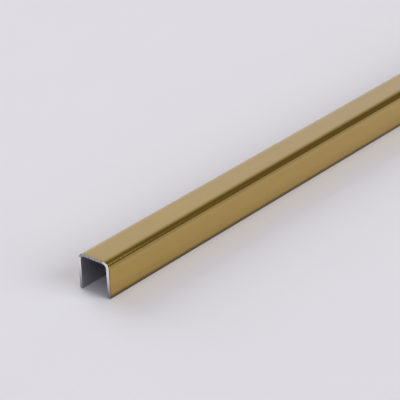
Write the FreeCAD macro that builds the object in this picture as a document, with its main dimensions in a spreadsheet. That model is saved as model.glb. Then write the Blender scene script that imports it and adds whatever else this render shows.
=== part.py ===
import FreeCAD, Part
import os

import Sketcher

# A length of decorative U-channel, folded from one strip of stainless sheet.
#
# Frame, in millimetres: X runs along the stock, Y across the web to the left, Z up.
# The channel lies open side down: the web is on top, and both legs stand on Z = 0.
# The origin is below the middle of the web, halfway along the stock.

DIMENSIONS = [
    # alias, value in mm, note
    ("stock_length", 1000.0, "length the stock is cut to"),
    ("web_width", 10.0, "outside width over both legs"),
    ("leg_height", 10.0, "outside height, from the foot of a leg to the face of the web"),
    ("sheet_thickness", 0.8, "gauge of the folded sheet"),
    ("inside_bend_radius", 0.8, "radius inside each fold"),
    ("edge_break", 0.1, "width of the dressing on each sheared or sawn edge"),
]

SHEET_NAME = "Dimensions"
CHANNEL = "u_channel"
NEAR = 1e-6  # mm, for telling on which plane an edge lies


def make_sheet(doc):
    """The spreadsheet that drives the model: a note, an alias and a plain number on each row."""
    sheet = doc.addObject("Spreadsheet::Sheet", SHEET_NAME)
    for row, (alias, value, note) in enumerate(DIMENSIONS, start=1):
        sheet.set(f"A{row}", note)
        sheet.set(f"B{row}", str(value))
        sheet.setAlias(f"B{row}", alias)
    doc.recompute()
    return sheet


def origin_plane(body, role):
    """The body's own origin plane that plays the given role."""
    for feature in body.Origin.OriginFeatures:
        if feature.Role == role:
            return feature
    raise RuntimeError(f"{body.Label} has no {role}")


def draw_section(body, sheet):
    """The folded section with sharp corners: an inverted U that stands on the sketch's X axis."""
    half_width = sheet.web_width / 2
    inner_half = half_width - sheet.sheet_thickness
    top = sheet.leg_height
    ceiling = top - sheet.sheet_thickness
    corners = [
        (-half_width, 0),
        (-half_width, top),
        (half_width, top),
        (half_width, 0),
        (inner_half, 0),
        (inner_half, ceiling),
        (-inner_half, ceiling),
        (-inner_half, 0),
    ]
    lines = range(len(corners))
    right_leg, web_face, left_leg, left_foot, left_wall, ceiling_face, right_wall, right_foot = lines
    start_point, end_point, x_axis, y_axis = 1, 2, -1, -2

    sketch = body.newObject("Sketcher::SketchObject", "Section")
    sketch.AttachmentSupport = [(origin_plane(body, "YZ_Plane"), "")]
    sketch.MapMode = "FlatFace"
    points = [FreeCAD.Vector(y, z, 0) for y, z in corners]
    for start, end in zip(points, points[1:] + points[:1]):
        sketch.addGeometry(Part.LineSegment(start, end), False)

    def constrain(*rule):
        return sketch.addConstraint(Sketcher.Constraint(*rule))

    for line in lines:
        constrain("Coincident", line, end_point, (line + 1) % len(lines), start_point)
    for line in (right_leg, left_leg, left_wall, right_wall):
        constrain("Vertical", line)
    constrain("Horizontal", ceiling_face)
    for line in (right_leg, left_foot, left_wall, right_foot):
        constrain("PointOnObject", line, start_point, x_axis)
    constrain("Symmetric", web_face, start_point, web_face, end_point, y_axis)
    constrain("Equal", left_foot, right_foot)

    sizes = [
        ("width", ("DistanceX", web_face, start_point, web_face, end_point), "web_width"),
        ("height", ("DistanceY", right_leg, start_point, right_leg, end_point), "leg_height"),
        ("leg_gauge", ("DistanceX", left_foot, end_point, left_foot, start_point), "sheet_thickness"),
        ("web_gauge", ("DistanceY", left_wall, end_point, left_leg, start_point), "sheet_thickness"),
    ]
    for name, (kind, *ends), alias in sizes:
        index = constrain(kind, *ends, getattr(sheet, alias))
        sketch.renameConstraint(index, name)
        sketch.setExpression(f"Constraints.{name}", f"{SHEET_NAME}.{alias}")
    return sketch


def pad_section(body, sketch):
    """The sharp-cornered bar, half its length to each side of the sketch."""
    pad = body.newObject("PartDesign::Pad", "Bar")
    pad.Profile = sketch
    pad.SideType = "Symmetric"
    pad.setExpression("Length", f"{SHEET_NAME}.stock_length")
    return pad


def edge_names(feature, wanted):
    """Names of the feature's edges that the test accepts."""
    edges = enumerate(feature.Shape.Edges, start=1)
    return [f"Edge{number}" for number, edge in edges if wanted(edge)]


def runs_along_stock(edge):
    """Whether the edge is one of the long straight ones."""
    return edge.BoundBox.XLength > NEAR


def add_dress_up(body, kind, name, base, wanted, size_property, size):
    """A fillet or chamfer on those edges of the base feature that the test accepts."""
    feature = body.newObject(kind, name)
    feature.Base = (base, edge_names(base, wanted))
    feature.setExpression(size_property, size)
    return feature


def make_channel(doc, sheet):
    """The channel: a padded section, rounded at both folds and dressed on every cut edge."""
    body = doc.addObject("PartDesign::Body", CHANNEL)
    body.Label = CHANNEL
    bar = pad_section(body, draw_section(body, sheet))
    doc.recompute()

    top = sheet.leg_height
    ceiling = top - sheet.sheet_thickness

    def lies_at(height):
        return lambda edge: runs_along_stock(edge) and abs(edge.CenterOfMass.z - height) < NEAR

    inside_radius = f"{SHEET_NAME}.inside_bend_radius"
    outside_radius = f"{inside_radius} + {SHEET_NAME}.sheet_thickness"
    outside = add_dress_up(
        body, "PartDesign::Fillet", "OutsideBends", bar, lies_at(top), "Radius", outside_radius
    )
    doc.recompute()
    inside = add_dress_up(
        body, "PartDesign::Fillet", "InsideBends", outside, lies_at(ceiling), "Radius", inside_radius
    )
    doc.recompute()

    def is_cut_edge(edge):
        return not runs_along_stock(edge) or abs(edge.CenterOfMass.z) < NEAR

    add_dress_up(
        body, "PartDesign::Chamfer", "DressedEdges", inside, is_cut_edge, "Size", f"{SHEET_NAME}.edge_break"
    )
    body.Placement = FreeCAD.Placement(FreeCAD.Vector(0, 0, 0), FreeCAD.Rotation())
    return body


def check_document(doc, parts):
    """Stops the macro when a feature failed or a sub-part has no sound solid."""
    for item in doc.Objects:
        if "Invalid" in item.State or "Error" in item.State:
            raise RuntimeError(f"{item.Label} failed: {item.State}")
    for part in parts:
        if part.Shape.isNull() or not part.Shape.isValid():
            raise RuntimeError(f"{part.Label} has no valid shape")


def main():
    doc = FreeCAD.newDocument("UChannel")
    sheet = make_sheet(doc)
    parts = [make_channel(doc, sheet)]
    doc.recompute()
    check_document(doc, parts)
    os.makedirs("parts", exist_ok=True)
    for part in parts:
        part.Shape.exportStep(f"parts/{part.Label}.step")
        print(f"{part.Label}: {len(part.Shape.Solids)} solid, {part.Shape.Volume:.1f} mm3")


main()
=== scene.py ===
"""A length of folded stainless U-channel, gold outside and bare inside, on a pale studio floor."""

import math

import bmesh
import bpy
from bpy.props import FloatProperty, FloatVectorProperty, IntProperty, PointerProperty
from bpy.types import Operator, Panel, PropertyGroup
from mathutils import Matrix, Vector


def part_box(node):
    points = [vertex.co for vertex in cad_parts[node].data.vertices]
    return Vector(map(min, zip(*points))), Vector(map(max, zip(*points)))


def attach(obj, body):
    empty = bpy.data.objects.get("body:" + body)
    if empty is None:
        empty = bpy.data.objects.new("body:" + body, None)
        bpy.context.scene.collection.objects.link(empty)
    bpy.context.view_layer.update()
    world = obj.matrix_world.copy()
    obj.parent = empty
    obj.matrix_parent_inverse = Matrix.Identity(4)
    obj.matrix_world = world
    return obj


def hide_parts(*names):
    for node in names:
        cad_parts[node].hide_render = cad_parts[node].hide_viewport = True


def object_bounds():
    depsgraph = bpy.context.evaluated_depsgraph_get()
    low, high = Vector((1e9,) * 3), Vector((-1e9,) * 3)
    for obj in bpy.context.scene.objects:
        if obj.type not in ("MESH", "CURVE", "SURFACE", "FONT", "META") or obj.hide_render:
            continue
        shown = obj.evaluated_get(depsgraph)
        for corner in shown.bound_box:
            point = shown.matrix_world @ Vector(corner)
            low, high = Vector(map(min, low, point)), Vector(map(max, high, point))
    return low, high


bl_info = {
    "name": "Folded U-channel",
    "version": (1, 0, 0),
    "blender": (4, 5, 0),
    "location": "3D View > Sidebar > Channel",
    "description": "Models a length of gold-faced stainless U-channel and its studio",
    "category": "Object",
}

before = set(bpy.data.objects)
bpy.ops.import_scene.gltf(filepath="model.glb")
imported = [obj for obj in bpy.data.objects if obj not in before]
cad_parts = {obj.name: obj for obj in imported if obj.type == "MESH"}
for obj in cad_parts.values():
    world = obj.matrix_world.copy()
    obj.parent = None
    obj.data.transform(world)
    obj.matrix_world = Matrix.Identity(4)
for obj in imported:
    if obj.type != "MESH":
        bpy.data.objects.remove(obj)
cad_low, cad_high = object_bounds()

CHANNEL_NODE = "u_channel"
MM = 0.001
NEAR = 1e-6  # metres, for telling on which line an edge lies

# Material slots of the channel, in order.
GOLD, BARE, CUT = range(3)

# Painted shade: a dark brown laid on the coat along its sheared and sawn edges and low on each fold, standing
# in for the dark surroundings that these spots reflect.
PAINTED_SHADE_BROWN = (0.12, 0.075, 0.01, 1.0)

# Unlit stretches of the studio: azimuth, elevation, inner and outer angle, and light left inside.
DARK_WALLS = ((-30.0, 28.0, 18.0, 62.0, 0.0), (152.0, 30.0, 22.0, 45.0, 0.3))

# Soft lights: name, azimuth, elevation, spread and strength, with all angles in degrees.
SOFT_LIGHTS = (("light_right", -75.0, 28.0, 42.0, 1.6), ("light_left", 74.0, 24.0, 42.0, 1.3))

FLOOR_SIZE = 60.0
SENSOR_WIDTH = 36.0  # millimetres
CAMERA_FROM_NEAR_END = (-0.2842, -0.2833, 0.2275)


# ---------------------------------------------------------------------------
# Settings a user would change
# ---------------------------------------------------------------------------


class ChannelSettings(PropertyGroup):
    """Sizes of the folded sheet that the outer box doesn't give."""

    sheet_thickness: FloatProperty(
        name="Sheet thickness",
        description="Gauge of the folded sheet",
        default=0.8 * MM,
        min=0.1 * MM,
        subtype="DISTANCE",
        unit="LENGTH",
    )
    fold_spread: FloatProperty(
        name="Fold spread",
        description="Distance from the outside corner at which the sheet starts to turn",
        default=2.7 * MM,
        min=0.1 * MM,
        subtype="DISTANCE",
        unit="LENGTH",
    )
    fold_fullness: FloatProperty(
        name="Fold fullness",
        description="0.5 turns evenly; more turns late and keeps close to the corner",
        default=0.64,
        min=0.1,
        max=0.95,
        subtype="FACTOR",
    )
    edge_break: FloatProperty(
        name="Edge break",
        description="Width of the rounding on each sheared or sawn edge",
        default=0.1 * MM,
        min=0.0,
        subtype="DISTANCE",
        unit="LENGTH",
    )
    fold_segments: IntProperty(
        name="Fold segments",
        description="Number of flats that make up each fold",
        default=24,
        min=2,
    )


class FinishSettings(PropertyGroup):
    """Colours of the coat, the bare sheet and the cut edges."""

    gold: FloatVectorProperty(
        name="Gold coat",
        description="Colour of the polished, gold-toned coat",
        default=(0.555, 0.37, 0.076),
        subtype="COLOR",
        min=0.0,
        max=1.0,
    )
    bare_steel: FloatVectorProperty(
        name="Bare steel",
        description="Colour of the uncoated sheet inside the groove",
        default=(0.47, 0.47, 0.49),
        subtype="COLOR",
        min=0.0,
        max=1.0,
    )
    # Partly the cut steel's own colour and partly painted highlight: it is set brighter than steel reflects.
    cut_steel: FloatVectorProperty(
        name="Cut steel",
        description="Colour of the freshly cut edges",
        default=(0.86, 0.85, 0.87),
        subtype="COLOR",
        min=0.0,
        max=1.0,
    )


class StudioSettings(PropertyGroup):
    """The floor, the soft light and the camera."""

    floor: FloatVectorProperty(
        name="Floor",
        description="Colour of the pale floor",
        default=(0.795, 0.787, 0.8),
        subtype="COLOR",
        min=0.0,
        max=1.0,
    )
    sky: FloatVectorProperty(
        name="Studio walls",
        description="Colour of the bright walls and ceiling round the object",
        default=(0.69, 0.695, 0.79),
        subtype="COLOR",
        min=0.0,
        max=1.0,
    )
    unlit: FloatVectorProperty(
        name="Unlit walls",
        description="Colour of the warm, unlit stretch of wall that the folds reflect",
        default=(0.16, 0.135, 0.08),
        subtype="COLOR",
        min=0.0,
        max=1.0,
    )
    lens: FloatProperty(
        name="Lens",
        description="Focal length of the camera, in millimetres",
        default=169.6,
        min=1.0,
    )
    heading: FloatProperty(
        name="Heading",
        description="Direction the camera looks in, from along the stock towards its left leg",
        default=math.radians(41.12),
        subtype="ANGLE",
        unit="ROTATION",
    )
    pitch: FloatProperty(
        name="Pitch",
        description="How far the camera looks down",
        default=math.radians(26.9),
        subtype="ANGLE",
        unit="ROTATION",
    )
    roll: FloatProperty(
        name="Roll",
        description="How far the camera is turned about its line of sight",
        default=math.radians(-2.43),
        subtype="ANGLE",
        unit="ROTATION",
    )


# ---------------------------------------------------------------------------
# Material helpers
# ---------------------------------------------------------------------------


class Tree:
    """Adds nodes to a node tree and links them."""

    def __init__(self, node_tree):
        self.tree = node_tree

    def add(self, kind, settings=None, **inputs):
        """A new node; inputs are numbers, colours or another node's output socket."""
        node = self.tree.nodes.new(kind)
        for name, value in (settings or {}).items():
            setattr(node, name, value)
        for name, value in inputs.items():
            self.fill(node.inputs[name.replace("_", " ")], value)
        return node

    def fill(self, socket, value):
        """Sets a socket to a constant, or links an output to it."""
        if isinstance(value, bpy.types.NodeSocket):
            self.tree.links.new(value, socket)
        else:
            socket.default_value = value

    def math(self, operation, *values):
        """The result of a Math node."""
        node = self.add("ShaderNodeMath", {"operation": operation})
        for socket, value in zip(node.inputs, values):
            self.fill(socket, value)
        return node.outputs[0]

    def remap(self, value, low, high, to_low=0.0, to_high=1.0):
        """The value moved smoothly from one range to another, and kept inside it."""
        node = self.add("ShaderNodeMapRange", {"interpolation_type": "SMOOTHSTEP"}, Value=value)
        for name, number in (("From Min", low), ("From Max", high), ("To Min", to_low), ("To Max", to_high)):
            self.fill(node.inputs[name], number)
        return node.outputs["Result"]

    def mix(self, factor, first, second):
        """A colour between two others."""
        node = self.add("ShaderNodeMix", {"data_type": "RGBA"})
        self.fill(node.inputs["Factor"], factor)
        self.fill(node.inputs[6], first)
        self.fill(node.inputs[7], second)
        return node.outputs[2]

    def noise(self, place, scale, detail=2.0, roughness=0.5):
        """Noise from 0 to 1 on the object's own coordinates, stretched by a scale for each axis."""
        mapping = self.add("ShaderNodeMapping", Vector=place, Scale=scale)
        node = self.add(
            "ShaderNodeTexNoise",
            Vector=mapping.outputs[0],
            Scale=1.0,
            Detail=detail,
            Roughness=roughness,
        )
        return node.outputs[0]


def new_material(name):
    """An empty node material with a Principled shader; returns the material, its tree and the shader."""
    material = bpy.data.materials.new(name)
    material.use_nodes = True
    return material, Tree(material.node_tree), material.node_tree.nodes["Principled BSDF"]


def set_sockets(shader, **values):
    """Sets constants on the shader's own sockets."""
    for name, value in values.items():
        shader.inputs[name.replace("_", " ")].default_value = value


def shade(colour, factor):
    """The colour with its brightness multiplied."""
    return (*(min(1.0, part * factor) for part in colour), 1.0)


def place_on_stock(tree):
    """Object coordinates, the distance to the nearer end, the place across and the height."""
    place = tree.add("ShaderNodeTexCoord").outputs["Object"]
    parts = tree.add("ShaderNodeSeparateXYZ", Vector=place).outputs
    to_end = tree.math("SUBTRACT", cad_high.x, tree.math("ABSOLUTE", parts["X"]))
    return place, to_end, parts["Y"], parts["Z"]


def gold_coat(colour):
    """Mirror-polished sheet under a thin gold-toned coat, with painted shade in brown along its sheared and
    sawn edges and low on each fold.
    """
    material, tree, shader = new_material("gold_coat")
    place, to_end, across, height = place_on_stock(tree)
    lines = tree.noise(place, (6.0, 2600.0, 2600.0), detail=3.0)
    streaks = tree.noise(place, (5.0, 420.0, 420.0), detail=2.0)
    clouds = tree.noise(place, (45.0, 160.0, 160.0), detail=3.0)

    # How far round the fold: negative towards the leg, positive towards the web, 0 at its middle.
    below_web = tree.math("SUBTRACT", cad_high.z, height)
    inside_leg = tree.math("SUBTRACT", cad_high.y, tree.math("ABSOLUTE", across))
    round_fold = tree.math("SUBTRACT", inside_leg, below_web)
    on_fold = tree.math(
        "MULTIPLY",
        tree.remap(round_fold, -0.8 * MM, -0.24 * MM),
        tree.remap(round_fold, 1.1 * MM, 0.25 * MM),
    )
    # Painted shade below the middle of each fold, widening the dark band that the fold reflects.
    low_fold_painted_shade = tree.math(
        "MULTIPLY",
        tree.remap(round_fold, -2.19 * MM, -1.39 * MM, 0.0, 0.5),
        tree.remap(round_fold, -0.5 * MM, -1.08 * MM),
    )

    tone = tree.mix(tree.remap(clouds, 0.3, 0.7), shade(colour, 0.97), shade(colour, 1.03))
    # Painted shade at the foot: a dark line along the bottom edge and a faint darkening up to 4.5 mm,
    # standing in for the contact shade and shaded floor that the low side reflects.
    foot_painted_shade = tree.math(
        "MAXIMUM",
        tree.remap(height, 0.4 * MM, 1.6 * MM, 1.0, 0.0),
        tree.remap(height, 0.8 * MM, 4.5 * MM, 0.17, 0.0),
    )
    # Painted shade along each cut end: a thin dark line standing in for the dark that the edge break there
    # reflects.
    end_painted_shade = tree.remap(to_end, 0.1 * MM, 0.6 * MM, 0.8, 0.0)
    # All painted shade at the edges and low on the folds, laid over the coat's tone in brown.
    edge_painted_shade = tree.math("MAXIMUM", foot_painted_shade, end_painted_shade)
    tone = tree.mix(tree.math("MAXIMUM", edge_painted_shade, low_fold_painted_shade), tone, PAINTED_SHADE_BROWN)
    tree.fill(shader.inputs["Base Color"], tone)

    haze = tree.math("ADD", tree.remap(streaks, 0.3, 0.7, 0.08, 0.13), tree.remap(lines, 0.3, 0.8, 0.0, 0.05))
    scuff = tree.math("MULTIPLY", on_fold, tree.remap(to_end, 2 * MM, 18 * MM, 0.066, 0.03))
    tree.fill(shader.inputs["Roughness"], tree.math("ADD", haze, scuff))
    ripple = tree.math("ADD", clouds, tree.math("MULTIPLY", lines, 0.05))
    bump = tree.add("ShaderNodeBump", Height=ripple, Strength=0.05, Distance=0.05 * MM)
    tree.fill(shader.inputs["Normal"], bump.outputs[0])
    set_sockets(shader, Metallic=1.0, Coat_Weight=1.0, Coat_Roughness=0.08, Coat_IOR=1.5)
    return material


def bare_sheet(colour):
    """Dull mill-finished steel with rolling grain along the stock."""
    material, tree, shader = new_material("bare_sheet")
    place = tree.add("ShaderNodeTexCoord").outputs["Object"]
    grain = tree.noise(place, (12.0, 3000.0, 3000.0), detail=4.0)
    stains = tree.noise(place, (60.0, 240.0, 240.0), detail=4.0)
    tone = tree.mix(tree.remap(stains, 0.35, 0.7), shade(colour, 0.85), shade(colour, 1.1))
    tone = tree.mix(tree.math("MULTIPLY", grain, 0.3), tone, shade(colour, 0.6))
    tree.fill(shader.inputs["Base Color"], tone)
    tree.fill(shader.inputs["Roughness"], tree.remap(grain, 0.3, 0.7, 0.55, 0.7))
    bump = tree.add("ShaderNodeBump", Height=grain, Strength=0.3, Distance=0.02 * MM)
    tree.fill(shader.inputs["Normal"], bump.outputs[0])
    set_sockets(shader, Metallic=1.0)
    return material


def cut_edge(colour):
    """Sheared and sawn steel: bright at the top of the legs as painted highlight and darker towards their
    feet as painted shade, duller and streaked across the web.
    """
    material, tree, shader = new_material("cut_edge")
    place, _, across, height = place_on_stock(tree)
    marks = tree.noise(place, (3000.0, 3000.0, 3000.0), detail=3.0)
    strokes = tree.noise(place, (300.0, 2400.0, 300.0), detail=3.0)
    on_web = tree.math(
        "MULTIPLY",
        tree.remap(height, cad_high.z - 1.6 * MM, cad_high.z - 1.0 * MM),
        tree.remap(across, -3.7 * MM, -2.9 * MM),
    )
    # Painted light down each leg: brighter than the steel at the top as a painted highlight, darkening
    # towards the foot as painted shade for the shaded floor it reflects.
    leg_painted_light = tree.mix(tree.remap(height, 0.2 * MM, 7.5 * MM), shade(colour, 0.32), shade(colour, 1.12))
    leg_painted_light = tree.mix(tree.math("MULTIPLY", marks, 0.3), leg_painted_light, shade(colour, 0.5))
    web = tree.mix(tree.remap(strokes, 0.35, 0.65), shade(colour, 0.3), shade(colour, 0.62))
    tree.fill(shader.inputs["Base Color"], tree.mix(on_web, leg_painted_light, web))
    tree.fill(shader.inputs["Roughness"], tree.remap(marks, 0.3, 0.7, 0.28, 0.42))
    set_sockets(shader, Metallic=1.0)
    return material


# ---------------------------------------------------------------------------
# The channel
# ---------------------------------------------------------------------------


def edit_selected_edges(obj, wanted):
    """Goes into edit mode on the object with only those edges selected that the test accepts."""
    bpy.ops.object.mode_set(mode="EDIT")
    bpy.ops.mesh.select_mode(type="EDGE")
    bpy.ops.mesh.select_all(action="DESELECT")
    mesh = bmesh.from_edit_mesh(obj.data)
    for edge in mesh.edges:
        first, second = (vertex.co for vertex in edge.verts)
        edge.select_set(wanted(first, second))
    mesh.select_flush_mode()
    bmesh.update_edit_mesh(obj.data)


def runs_along_stock(first, second):
    """Whether an edge between two points is one of the long ones."""
    return abs(first.x - second.x) > NEAR


def apply_modifier(obj, kind, **settings):
    """Adds a modifier with these settings and applies it."""
    modifier = obj.modifiers.new(kind.title(), kind)
    for name, value in settings.items():
        setattr(modifier, name, value)
    bpy.ops.object.modifier_apply(modifier=modifier.name)


class CHANNEL_OT_fold(Operator):
    """Fold the channel from one flat strip and give it its finish"""

    bl_idname = "channel.fold"
    bl_label = "Fold the channel"

    def execute(self, context):
        sizes = context.scene.channel_sizes
        finish = context.scene.channel_finish
        low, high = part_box(CHANNEL_NODE)
        middle = (low + high) / 2
        size = high - low
        bpy.ops.object.select_all(action="DESELECT")

        # The web is a flat strip, and the legs are pulled down from its long edges.
        bpy.ops.mesh.primitive_plane_add(size=1.0, location=(0, 0, 0))
        channel = context.object
        channel.name = channel.data.name = "channel"
        bpy.ops.object.mode_set(mode="EDIT")
        bpy.ops.transform.resize(value=(size.x, size.y, 1.0))
        bpy.ops.transform.translate(value=(middle.x, middle.y, high.z))
        edit_selected_edges(channel, runs_along_stock)
        bpy.ops.mesh.extrude_edges_move(TRANSFORM_OT_translate={"value": (0, 0, -size.z)})

        # Both folds turn gently at first and tightest in the middle, as folded sheet does.
        edit_selected_edges(
            channel, lambda a, b: runs_along_stock(a, b) and min(a.z, b.z) > high.z - NEAR
        )
        bpy.ops.mesh.bevel(
            offset=sizes.fold_spread,
            segments=sizes.fold_segments,
            profile=sizes.fold_fullness,
            affect="EDGES",
        )
        bpy.ops.mesh.select_all(action="SELECT")
        bpy.ops.mesh.normals_make_consistent(inside=False)
        bpy.ops.object.mode_set(mode="OBJECT")
        bpy.ops.object.shade_smooth()

        for material in (gold_coat(finish.gold), bare_sheet(finish.bare_steel), cut_edge(finish.cut_steel)):
            channel.data.materials.append(material)

        # The gauge goes inwards, so the folded strip keeps its outside size.
        apply_modifier(
            channel,
            "SOLIDIFY",
            thickness=sizes.sheet_thickness,
            offset=-1.0,
            use_even_offset=True,
            material_offset=BARE,
            material_offset_rim=CUT,
        )
        apply_modifier(
            channel,
            "BEVEL",
            width=sizes.edge_break,
            segments=2,
            limit_method="ANGLE",
            angle_limit=math.radians(50),
            material=CUT,
        )
        apply_modifier(channel, "WEIGHTED_NORMAL", mode="FACE_AREA", weight=100, keep_sharp=True)

        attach(channel, "root")
        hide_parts(CHANNEL_NODE)
        return {"FINISHED"}


# ---------------------------------------------------------------------------
# The studio
# ---------------------------------------------------------------------------


def direction(azimuth, elevation):
    """The unit vector at an angle from +X towards +Y, and an angle above the floor, in degrees."""
    turn, rise = math.radians(azimuth), math.radians(elevation)
    return Vector((math.cos(turn) * math.cos(rise), math.sin(turn) * math.cos(rise), math.sin(rise)))


def floor_material(colour):
    """Matt pale floor."""
    material, tree, shader = new_material("floor")
    place = tree.add("ShaderNodeTexCoord").outputs["Object"]
    mottle = tree.noise(place, (40.0, 40.0, 40.0), detail=2.0)
    tree.fill(shader.inputs["Base Color"], tree.mix(mottle, shade(colour, 0.99), shade(colour, 1.01)))
    set_sockets(shader, Roughness=0.9, Specular_IOR_Level=0.2)
    return material


def make_world(scene, sky, unlit):
    """Pale walls and ceiling, with an unlit stretch at either side for the folds to reflect."""
    world = bpy.data.worlds.new("studio")
    world.use_nodes = True
    scene.world = world
    tree = Tree(world.node_tree)
    background = world.node_tree.nodes["Background"]
    ray = tree.add("ShaderNodeTexCoord").outputs["Generated"]
    light = 1.0
    for azimuth, elevation, inner, outer, level in DARK_WALLS:
        towards = tree.add("ShaderNodeVectorMath", {"operation": "DOT_PRODUCT"})
        tree.fill(towards.inputs[0], ray)
        tree.fill(towards.inputs[1], direction(azimuth, elevation))
        near, far = (math.cos(math.radians(angle)) for angle in (inner, outer))
        light = tree.math("MULTIPLY", light, tree.remap(towards.outputs["Value"], far, near, 1.0, level))
    tree.fill(background.inputs["Color"], tree.mix(light, shade(unlit, 1.0), shade(sky, 1.0)))


def add_soft_light(name, azimuth, elevation, spread, strength):
    """A broad, even light from one side, as wide as its spread in degrees."""
    bpy.ops.object.light_add(type="SUN", location=direction(azimuth, elevation))
    lamp = bpy.context.object
    lamp.name = lamp.data.name = name
    lamp.data.angle = math.radians(spread)
    lamp.data.energy = strength
    lamp.rotation_euler = direction(azimuth, elevation).to_track_quat("Z", "Y").to_euler()


class CHANNEL_OT_studio(Operator):
    """Set up the floor, the soft light and the camera"""

    bl_idname = "channel.studio"
    bl_label = "Set up the studio"

    def execute(self, context):
        scene = context.scene
        studio = scene.channel_studio
        near_end = Vector((cad_low.x, 0.0, cad_low.z))

        bpy.ops.object.select_all(action="DESELECT")
        bpy.ops.mesh.primitive_plane_add(size=FLOOR_SIZE, location=(0, 0, cad_low.z))
        floor = context.object
        floor.name = floor.data.name = "floor"
        floor.data.materials.append(floor_material(studio.floor))

        make_world(scene, studio.sky, studio.unlit)
        for light in SOFT_LIGHTS:
            add_soft_light(*light)

        camera = bpy.data.objects.new("camera", bpy.data.cameras.new("camera"))
        scene.collection.objects.link(camera)
        camera.data.sensor_width = SENSOR_WIDTH
        camera.data.lens = studio.lens
        turn = (
            Matrix.Rotation(studio.heading - math.pi / 2, 4, "Z")
            @ Matrix.Rotation(math.pi / 2 - studio.pitch, 4, "X")
            @ Matrix.Rotation(studio.roll, 4, "Z")
        )
        place = near_end + Vector(CAMERA_FROM_NEAR_END)
        camera.matrix_world = Matrix.Translation(place) @ turn
        scene.camera = camera

        scene.view_settings.view_transform = "Standard"
        return {"FINISHED"}


class CHANNEL_PT_panel(Panel):
    """The channel's sizes, finish and studio"""

    bl_label = "Folded U-channel"
    bl_idname = "CHANNEL_PT_panel"
    bl_space_type = "VIEW_3D"
    bl_region_type = "UI"
    bl_category = "Channel"

    def draw(self, context):
        scene = context.scene
        for settings in (scene.channel_sizes, scene.channel_finish, scene.channel_studio):
            box = self.layout.box()
            for name in settings.__annotations__:
                box.prop(settings, name)
        self.layout.operator(CHANNEL_OT_fold.bl_idname)
        self.layout.operator(CHANNEL_OT_studio.bl_idname)


CLASSES = (
    ChannelSettings,
    FinishSettings,
    StudioSettings,
    CHANNEL_OT_fold,
    CHANNEL_OT_studio,
    CHANNEL_PT_panel,
)
SETTINGS = {
    "channel_sizes": ChannelSettings,
    "channel_finish": FinishSettings,
    "channel_studio": StudioSettings,
}


def register():
    for item in CLASSES:
        bpy.utils.register_class(item)
    for name, group in SETTINGS.items():
        setattr(bpy.types.Scene, name, PointerProperty(type=group))


def unregister():
    for name in SETTINGS:
        delattr(bpy.types.Scene, name)
    for item in reversed(CLASSES):
        bpy.utils.unregister_class(item)


def main():
    register()
    bpy.ops.channel.fold()
    bpy.ops.channel.studio()


if __name__ == "__main__":
    main()
